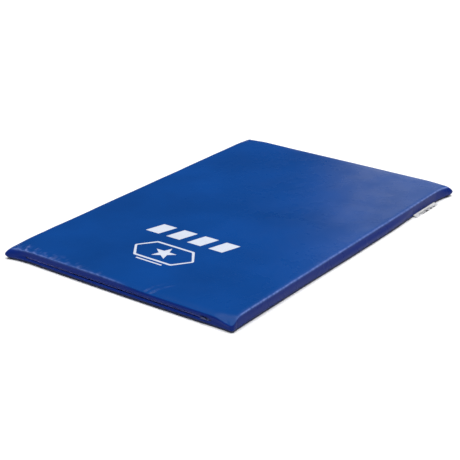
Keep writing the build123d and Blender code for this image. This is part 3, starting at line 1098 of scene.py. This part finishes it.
class MAT_OT_foam(bpy.types.Operator):
    """Make the three laminated foam layers inside the cover"""

    bl_idname = "mat.make_foam"
    bl_label = "Foam"

    def execute(self, context):
        # Each layer's rounding, which of its faces is rounded, and how far below the box it stops.
        layers = (
            ("foam_base", "foam_base_layer", "foam_firm", 0.004, 0, 0.0003),
            ("foam_middle", "foam_core", "foam_soft", 0.001, 0, 0.0003),
            ("foam_landing", "foam_landing_layer", "foam_firm", 0.006, 1, 0.0035),
        )
        for name, node_name, slot, rounding, face, clear in layers:
            low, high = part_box(node_name)
            corners = (low + Vector((0.003, 0.004, 0.0003)), high - Vector((0.003, 0.003, clear)))
            piece = rounded_block(name, *corners)
            level = corners[face].z
            round_edges(
                piece,
                lambda first, second: max(abs(first.z - level), abs(second.z - level)) < SAME,
                rounding,
                3,
            )
            settle(piece, context.scene.mat_sizes)
            smooth(piece, 50)
            finish_piece(piece, stock(slot), stands_for=(node_name,))
        return {"FINISHED"}


# ---- Seam bindings ----


class MAT_OT_bindings(bpy.types.Operator):
    """Make the tapes that bind the raw edges inside the two seams"""

    bl_idname = "mat.make_bindings"
    bl_label = "Seam bindings"

    def execute(self, context):
        inset = Vector((0.002, 0.002, 0))
        for place, drop in (("top", 0.002), ("base", 0)):
            node_name = f"{place}_seam_binding"
            low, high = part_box(node_name)
            deep = high.z - low.z
            piece = rounded_block(f"binding_{place}", low + inset, high - inset - AXES[2] * drop)
            with editing(piece) as mesh:
                for face in mesh.faces:
                    face.select_set(abs(face.normal.z) > 0.9)
                bmesh.update_edit_mesh(piece.data)
                bpy.ops.mesh.delete(type="ONLY_FACE")
            cut(piece, at_levels(low.z + share * deep for share in (0.25, 0.5, 0.75)), AXES[2])
            settle(piece, context.scene.mat_sizes)
            thicken(piece, 0.0007)
            smooth(piece)
            finish_piece(piece, stock("binding_tape"), stands_for=(node_name,))
        return {"FINISHED"}


# ---- Zip ----


def coil_turn(side, pitch):
    """One turn of a coil row: a rounded bar across the row with a hooked head."""
    half = 0.0020
    turn = added("cylinder", "coil_turn", vertices=8, radius=0.00055, depth=2 * half, end_fill_type="NGON")
    cut(turn, at_levels((-0.0012, 0.0, 0.0012)), AXES[2])
    places = points(turn)
    reach = places[:, 2] * side
    places[:, 0] += 0.22 * pitch * (reach / half)
    places[:, 1] *= 1.0 + 0.35 * ramp(-reach, 0.0006, 0.0018)
    places[:, 0] *= 1.0 + 0.25 * ramp(-reach, 0.0008, 0.0018)
    places[:, 1] += 0.0006 * bell(reach - 0.0018, 0.0007)
    set_points(turn, places)
    return turn


def zip_tape(name, node_name, side):
    """One woven tape of the zip, with a faint wave that dies out towards its coil."""
    low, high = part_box(node_name)
    tape = added("grid", name, x_subdivisions=220, y_subdivisions=6, size=1)
    bent = []
    for across, up, _ in points(tape):
        x = low.x + (across + 0.5) * (high.x - low.x)
        loose = 0.5 + side * up
        wave = 0.00025 * loose * math.sin(46 * x) + 0.00012 * loose * math.sin(131 * x + 1)
        bent.append((x, low.y + 0.00035 + wave, low.z + (up + 0.5) * (high.z - low.z)))
    set_points(tape, bent)
    thicken(tape, high.y - low.y - 0.0002)
    smooth(tape)
    finish_piece(tape, stock("zip_tape"), stands_for=(node_name,))


class MAT_OT_zip(bpy.types.Operator):
    """Make the two coil rows, and finish the tapes, stops, slider and pull"""

    bl_idname = "mat.make_zip"
    bl_label = "Zip"

    def execute(self, context):
        pitch = context.scene.mat_sizes.coil_pitch
        for row, side, shift in (("upper", 1, 0), ("lower", -1, pitch / 2)):
            low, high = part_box(f"zip_coil_{row}")
            first = Vector((low.x + pitch / 4 + shift, (low.y + high.y) / 2, ZIP_Z + side * 0.0015))
            count = int((high.x - low.x) / pitch)
            spots = [Matrix.Translation(first + AXES[0] * index * pitch) for index in range(count)]
            piece = repeated(f"coil_{row}", coil_turn(side, pitch), spots)
            finish_piece(piece, stock("zip_coil"), stands_for=(f"zip_coil_{row}",))
        zip_tape("tape_upper", "zip_tape_upper", 1)
        zip_tape("tape_lower", "zip_tape_lower", -1)
        for name in ("zip_end_stops", "zip_slider", "zip_pull"):
            kept = frame["nodes"][name]
            kept.data.materials.clear()
            kept.data.materials.append(stock("zip_metal"))
        return {"FINISHED"}


# ---- Carry handles ----


STRAP_T = 0.002
STRAP_SAG = 0.0090


def strap_shape():
    """Half span of a handle's bow, length of a sewn end, and rise, from the grip and the ends."""
    grip_low, grip_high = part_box("handle_front_grip")
    ends_low, ends_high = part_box("handle_front_ends")
    half_span = grip_high.y - grip_low.y
    sewn = (ends_high.y - ends_low.y) / 2 - half_span
    rise = ends_high.x - STRAP_T / 2 - (grip_low.x + STRAP_T / 2)
    return half_span, sewn, rise


def bow_arc(half_span, rise):
    """Radius and length of each of the four like arcs that make up a bow."""
    radius = (half_span**2 + rise**2) / (4 * rise)
    return radius, radius * 2 * math.atan2(rise, half_span)


def strap_place(distance, half_span, rise):
    """Way along the wall and way out from it, for a distance along the strap from its middle."""
    radius, arc = bow_arc(half_span, rise)
    far = abs(distance)
    sign = 1 if distance >= 0 else -1
    if far < arc:
        return sign * radius * math.sin(far / radius), rise - radius * (1 - math.cos(far / radius))
    if far < 2 * arc:
        left = (2 * arc - far) / radius
        return sign * (half_span - radius * math.sin(left)), radius * (1 - math.cos(left))
    return sign * (half_span + far - 2 * arc), 0.0


def strap_ends(handle):
    """The middles of the two sewn ends of a handle."""
    half_span, sewn, _ = strap_shape()
    low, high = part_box(f"handle_{handle}_ends")
    middle = (low + high) / 2
    return [Vector((low.x, middle.y + side * (half_span + sewn / 2), middle.z)) for side in (1, -1)]


def wall_shift(wall, y, z):
    """How far the finished left wall stands out from the plane that it was drawn on."""
    hit = wall.ray_cast(Vector((-WIDTH, y, z)), AXES[0])[0]
    return min(hit.x + WIDTH / 2, 0.0) - 0.0002


def add_strap(place_name, along):
    """A handle's whole strap, from one sewn end over the bow to the other."""
    half_span, sewn, rise = strap_shape()
    low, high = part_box(f"handle_{place_name}_ends")
    wall = high.x - STRAP_T / 2
    total = 2 * (2 * bow_arc(half_span, rise)[1] + sewn)
    wide = high.z - low.z
    middle = (low.z + high.z) / 2
    strap = added("grid", f"handle_{place_name}", x_subdivisions=90, y_subdivisions=10, size=1)
    flat = points(strap)
    map_flat(strap, "strap", flat[:, :2] * [total, wide] + 1)
    bent = []
    cloth = surface_of(bpy.data.objects["cover_side_left"])
    for across, up, _ in flat:
        way, out = strap_place(across * total, half_span, rise)
        ahead = wall_shift(cloth, along + max(way, half_span), middle + up * wide)
        behind = wall_shift(cloth, along + min(way, -half_span), middle + up * wide)
        share = min(max((way / half_span + 1) / 2, 0), 1)
        lie = behind + (ahead - behind) * share
        sag = -STRAP_SAG * (out / rise) ** 2
        twist = 0.0012 * (out / rise) * (2 * up) * math.sin(3 * across)
        bent.append((wall + lie - out - twist, along + way, middle + up * wide + sag))
    set_points(strap, bent)
    with editing(strap):
        bpy.ops.mesh.select_all(action="SELECT")
        bpy.ops.mesh.normals_make_consistent(inside=False)
        bpy.ops.mesh.flip_normals()
    thicken(strap, STRAP_T * 0.9, 0.0)
    bevel(strap, 0.0005, 50)
    smooth(strap)
    nodes = (f"handle_{place_name}_grip", f"handle_{place_name}_ends")
    finish_piece(strap, stock("webbing"), body=None, stands_for=nodes)
    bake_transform(strap)


def sewn_patches():
    """The four vinyl patches under the strap ends, each with rounded corners and edges."""
    sewn = strap_shape()[1]
    low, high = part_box("handle_patches")
    size = Vector((0.003, sewn + 0.012, high.z - low.z))
    made = []
    for handle in ("front", "rear"):
        for end in strap_ends(handle):
            centre = Vector((high.x, end.y, (low.z + high.z) / 2))
            patch = added("cube", "patch", size=1, location=centre, scale=size)
            round_edges(patch, lambda first, second: abs(first.x - second.x) > SAME, 0.004, 5)
            bevel(patch, 0.0004)
            for way, spread in ((AXES[1], sewn), (AXES[2], size.z)):
                cut(patch, [centre + way * part * spread / 8 for part in range(-3, 4)], way)
            made.append(patch)
    patches = joined(made, "handle_patches_sewn")
    cloth = surface_of(bpy.data.objects["cover_side_left"])
    set_points(patches, [(x + wall_shift(cloth, y, z), y, z) for x, y, z in points(patches)])
    # Painted shade: the patches on the left wall take the walls' darker colour.
    mark(patches, "side", np.ones(len(patches.data.vertices)))
    return patches


class MAT_OT_handles(bpy.types.Operator):
    """Make the two webbing carry handles and the patches that they are sewn to"""

    bl_idname = "mat.make_handles"
    bl_label = "Carry handles"

    def execute(self, context):
        for handle in ("front", "rear"):
            low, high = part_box(f"handle_{handle}_ends")
            add_strap(handle, (low.y + high.y) / 2)
        patches = sewn_patches()
        smooth(patches)
        finish_piece(patches, stock("cover_vinyl"), stands_for=("handle_patches",))
        return {"FINISHED"}


# ---- Care tag ----

# Printed bars: how far out on the tag, where each starts and ends along it, and its half depth.
TAG_BARS = (
    (0.76, -0.14, 0.10, 0.14),
    (0.76, 0.28, 0.46, 0.14),
    (0.74, 0.58, 0.72, 0.12),
    (0.80, -0.42, -0.24, 0.08),
    (0.55, -0.62, 0.56, 0.022),
    (0.45, -0.62, 0.30, 0.022),
    (0.35, -0.62, 0.44, 0.022),
)


def tag_place(out, along):
    """A point of the tag: out is 0 at the seam and 1 at the free edge, along runs -1 to 1."""
    root = Vector((RIGHT + 0.0002, 0.0095))
    tip = Vector((TAG[1].x - 0.003, 0.0011))
    reach = 1 + 0.10 * along - 0.10 * along**4
    spot = root.lerp(tip, out * reach)
    sag = 0.0008 * math.sin(math.pi * min(out, 1))
    flutter = 0.0012 * out * math.sin(4.2 * along + 0.6)
    return Vector((spot.x, TAG_Y + along * (TAG[1].y - TAG[0].y) / 2, max(spot.y - sag + flutter, 0.0006)))


class MAT_OT_care_tag(bpy.types.Operator):
    """Make the sewn-in care tag and its printed lines"""

    bl_idname = "mat.make_care_tag"
    bl_label = "Care tag"

    def execute(self, context):
        tag = added("grid", "care_tag_cloth", x_subdivisions=14, y_subdivisions=60, size=1)
        flat = points(tag)
        map_flat(tag, "tag", flat[:, :2] + 0.5)
        set_points(tag, [tag_place(x + 0.5, 2 * y) for x, y, _ in flat])
        thicken(tag, 0.0005)
        smooth(tag)
        finish_piece(tag, stock("tag_cloth"), body="care_tag", stands_for=("care_tag",))
        bars = []
        proud = Vector((0.00003, 0, 0.00008))
        for out, start, end, deep in TAG_BARS:
            bar = added("grid", "tag_bar", x_subdivisions=3, y_subdivisions=24, size=1)
            lifted = []
            for x, y, _ in points(bar):
                lifted.append(tag_place(out + x * 2 * deep, start + (y + 0.5) * (end - start)) + proud)
            set_points(bar, lifted)
            thicken(bar, 0.00006, 0.0)
            bars.append(bar)
        ink = joined(bars, "care_tag_lines")
        finish_piece(ink, stock("tag_ink"), body="care_tag", stands_for=("care_tag_print",))
        return {"FINISHED"}


# ---- Print on the top ----


class MAT_OT_print(bpy.types.Operator):
    """Lay the white screen print on the finished top"""

    bl_idname = "mat.make_print"
    bl_label = "Print"

    def execute(self, context):
        step = 0.008
        top = surface_of(bpy.data.objects["cover_top"])
        for name, node_name in (("print_bars", "top_print_bars"), ("print_emblem", "top_print_emblem")):
            ink = frame["nodes"][node_name].copy()
            ink.data = ink.data.copy()
            ink.parent = None
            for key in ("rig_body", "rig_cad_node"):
                del ink[key]
            context.scene.collection.objects.link(ink)
            ink.name = name
            ink.data.name = name
            low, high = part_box(node_name)
            with editing(ink):
                bpy.ops.mesh.select_all(action="SELECT")
                bpy.ops.mesh.remove_doubles(threshold=1e-6)
            for axis, way in enumerate(AXES[:2]):
                count = int((high[axis] - low[axis]) / step)
                cut(ink, [way * (low[axis] + step * part) for part in range(1, count + 1)], way)
            laid = []
            for x, y, z in points(ink):
                hit = top.ray_cast(Vector((x, y, 0.2)), -AXES[2])[0]
                laid.append((x, y, hit.z + (0.00018 if z > low.z + 5e-5 else -0.0002)))
            set_points(ink, laid)
            smooth(ink, 30)
            finish_piece(ink, stock("white_print"), stands_for=(node_name,))
        return {"FINISHED"}


# ---- Sewing ----

# How far the zip's two rows of stitches are from the edges of its slot.
ROW_ABOVE = 0.0032
ROW_BELOW = 0.0030
# The handle ends' own stitches, and their distance.
SHORT_STITCH = 0.0024
SHORT_PITCH = 0.0032
# How much of the distance between two stitches is thread.
SHOWN = 0.72


def stitch_template(length, thickness):
    """One stitch: a short thread that dives into the cloth at both ends."""
    shape = {"vertices": 6, "radius": thickness / 2, "depth": length, "end_fill_type": "NGON"}
    stitch = added("cylinder", "stitch", **shape)
    cut(stitch, at_levels(share * length for share in (-0.28, 0.0, 0.28)), AXES[2])
    places = points(stitch)
    places[:, 0] -= thickness * 0.9 * (2 * places[:, 2] / length) ** 2
    set_points(stitch, places)
    return stitch


def stitch_places(surface, spots, pitch):
    """Places of stitches along a line over a surface. Each spot is a start point and the way in."""
    found = []
    for start, way in spots:
        hit, normal, _, _ = surface.ray_cast(start, way)
        if hit is not None:
            found.append((hit, -way if normal.dot(way) > 0 else normal))
    places = []
    gone = pitch / 2
    for (here, normal), (there, _) in zip(found, found[1:]):
        run = there - here
        span = run.length
        if span > 0.05 or span < 1e-9:
            continue
        while gone < span:
            along = run.normalized()
            out = (normal - along * normal.dot(along)).normalized()
            turn = Matrix((out, along.cross(out), along)).transposed()
            places.append(Matrix.Translation(here + along * gone) @ turn.to_4x4())
            gone += pitch
        gone -= span
    return places


def outline_loop(step):
    """Points and ways out round the plan outline, as one closed loop."""
    half = Vector((WIDTH / 2 - CORNER_R, LENGTH / 2 - CORNER_R))
    loop = []
    corners = ((1, -1, -90), (1, 1, 0), (-1, 1, 90), (-1, -1, 180))
    for index, (sx, sy, turn) in enumerate(corners):
        middle = Vector((sx * half.x, sy * half.y))
        for part in range(9):
            facing = math.radians(turn + 11.25 * part)
            way = Vector((math.cos(facing), math.sin(facing)))
            loop.append((middle + way * CORNER_R, way))
        after = corners[(index + 1) % 4]
        end = Vector((after[0] * half.x, after[1] * half.y)) + way * CORNER_R
        start = loop[-1][0]
        count = round((end - start).length / step)
        loop += [(start.lerp(end, part / count), way) for part in range(1, count)]
    return loop


def side_line(surface, level, pitch):
    """Stitches all round the side walls at one height."""
    loop = outline_loop(0.02)
    loop.append(loop[0])
    spots = []
    for spot, way in loop:
        out = Vector((way.x, way.y, 0))
        spots.append((Vector((spot.x, spot.y, level)) + out * 0.08, -out))
    return stitch_places(surface, spots, pitch)


def box_cross(middle, width, height):
    """The box and cross sewn through a strap end, as lines of start points facing the wall."""
    depth = 0.03
    half_w, half_h = width / 2, height / 2
    corners = [(-half_w, -half_h), (half_w, -half_h), (half_w, half_h), (-half_w, half_h)]
    lines = [(corners[index], corners[(index + 1) % 4]) for index in range(4)]
    lines += [(corners[0], corners[2]), (corners[1], corners[3])]
    made = []
    for (y0, z0), (y1, z1) in lines:
        run = []
        for part in range(13):
            share = part / 12
            spot = Vector((-depth, y0 + (y1 - y0) * share, z0 + (z1 - z0) * share))
            run.append((middle + spot, AXES[0]))
        made.append(run)
    return made


class MAT_OT_sewing(bpy.types.Operator):
    """Sew the seams, the zip and the handle ends"""

    bl_idname = "mat.make_sewing"
    bl_label = "Sewing"

    def execute(self, context):
        sizes = context.scene.mat_sizes
        cover = covering()
        rows = {"stitches_top_seam": TOP_SEAM - 0.0045, "stitches_base_seam": BASE_SEAM + 0.0035}
        for name, level in rows.items():
            template = stitch_template(sizes.stitch * SHOWN, sizes.thread)
            piece = repeated(name, template, side_line(cover, level, sizes.stitch))
            finish_piece(piece, stock("thread"))
        places = []
        for level in (ZIP_Z + SLOT_HALF + ROW_ABOVE, ZIP_Z - SLOT_HALF - ROW_BELOW):
            count = 60
            spots = []
            for index in range(count + 1):
                x = SLOT_LEFT - 0.006 + (SLOT_RIGHT - SLOT_LEFT + 0.012) * index / count
                spots.append((Vector((x, FRONT - 0.04, level)), AXES[1]))
            places += stitch_places(cover, spots, sizes.stitch)
        piece = repeated("stitches_zip", stitch_template(sizes.stitch * SHOWN, sizes.thread), places)
        finish_piece(piece, stock("thread"))
        straps = surface_of(bpy.data.objects["handle_front"], bpy.data.objects["handle_rear"])
        low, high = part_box("handle_front_ends")
        box = (strap_shape()[1] - 0.010, high.z - low.z - 0.008)
        places = []
        for handle in ("front", "rear"):
            for middle in strap_ends(handle):
                for run in box_cross(middle, *box):
                    places += stitch_places(straps, run, SHORT_PITCH)
        piece = repeated("stitches_handles", stitch_template(SHORT_STITCH, sizes.thread), places)
        finish_piece(piece, stock("thread"))
        return {"FINISHED"}


# ---- Stage ----


def camera_axes(stage):
    """The camera's right, up and back directions."""
    turn, lift = stage.azimuth, stage.elevation
    back = Vector((math.sin(turn) * math.cos(lift), -math.cos(turn) * math.cos(lift), math.sin(lift)))
    right = Vector((math.cos(turn), math.sin(turn), 0))
    return right, back.cross(right), back


def add_panel(name, place, target, size, power):
    """A rectangular soft light that faces a point."""
    light = bpy.data.lights.new(name, "AREA")
    light.shape = "RECTANGLE"
    light.size, light.size_y = size
    light.energy = power
    holder = bpy.data.objects.new(name, light)
    bpy.context.scene.collection.objects.link(holder)
    holder.location = place
    holder.rotation_euler = (Vector(target) - Vector(place)).to_track_quat("-Z", "Y").to_euler()


class MAT_OT_stage(bpy.types.Operator):
    """Set up the floor, the lights and the camera"""

    bl_idname = "mat.make_stage"
    bl_label = "Stage"

    def execute(self, context):
        stage = context.scene.mat_stage
        floor = added("plane", "floor", size=60)
        floor.data.materials.append(new_material("floor", stage.floor, 0.9)[0])
        right, up, back = camera_axes(stage)
        lens = bpy.data.cameras.new("camera")
        lens.lens = stage.lens
        lens.sensor_width = 36
        lens.clip_end = 100
        camera = bpy.data.objects.new("camera", lens)
        context.scene.collection.objects.link(camera)
        turn = Matrix((right, up, back)).transposed().to_4x4()
        stand = back * stage.distance + right * stage.slide + up * stage.rise
        camera.matrix_world = Matrix.Translation(stand) @ turn
        context.scene.camera = camera
        world = bpy.data.worlds.new("studio")
        world.use_nodes = True
        shade = world.node_tree.nodes["Background"]
        shade.inputs["Color"].default_value = (1, 1, 1, 1)
        shade.inputs["Strength"].default_value = stage.sky
        context.scene.world = world
        broad = bpy.data.lights.new("overhead", "SUN")
        broad.energy = stage.key
        broad.angle = stage.spread
        holder = bpy.data.objects.new("overhead", broad)
        context.scene.collection.objects.link(holder)
        add_panel("behind", (-0.45, 6.0, 2.0), (0.25, 0.9, 0), (4.8, 2.4), stage.back)
        context.scene.view_settings.view_transform = "Standard"
        return {"FINISHED"}


# ---- Add-on ----

OPERATORS = (
    MAT_OT_cover,
    MAT_OT_foam,
    MAT_OT_bindings,
    MAT_OT_zip,
    MAT_OT_handles,
    MAT_OT_care_tag,
    MAT_OT_print,
    MAT_OT_sewing,
    MAT_OT_stage,
)


class MAT_PT_panel(bpy.types.Panel):
    """Lists the mat's pieces in the sidebar."""

    bl_idname = "MAT_PT_panel"
    bl_label = "Landing Mat"
    bl_space_type = "VIEW_3D"
    bl_region_type = "UI"
    bl_category = "Landing Mat"

    def draw(self, context):
        for group in (context.scene.mat_sizes, context.scene.mat_colours, context.scene.mat_stage):
            box = self.layout.box()
            for key in group.bl_rna.properties.keys():
                if key not in ("rna_type", "name"):
                    box.prop(group, key)
        for operator in OPERATORS:
            self.layout.operator(operator.bl_idname)


CLASSES = (MatSizes, MatColours, MatStage, *OPERATORS, MAT_PT_panel)


def register():
    for item in CLASSES:
        bpy.utils.register_class(item)
    bpy.types.Scene.mat_sizes = PointerProperty(type=MatSizes)
    bpy.types.Scene.mat_colours = PointerProperty(type=MatColours)
    bpy.types.Scene.mat_stage = PointerProperty(type=MatStage)


def unregister():
    del bpy.types.Scene.mat_stage
    del bpy.types.Scene.mat_colours
    del bpy.types.Scene.mat_sizes
    for item in reversed(CLASSES):
        bpy.utils.unregister_class(item)


def main():
    register()
    for operator in OPERATORS:
        group, name = operator.bl_idname.split(".")
        getattr(getattr(bpy.ops, group), name)()


if __name__ == "__main__":
    main()
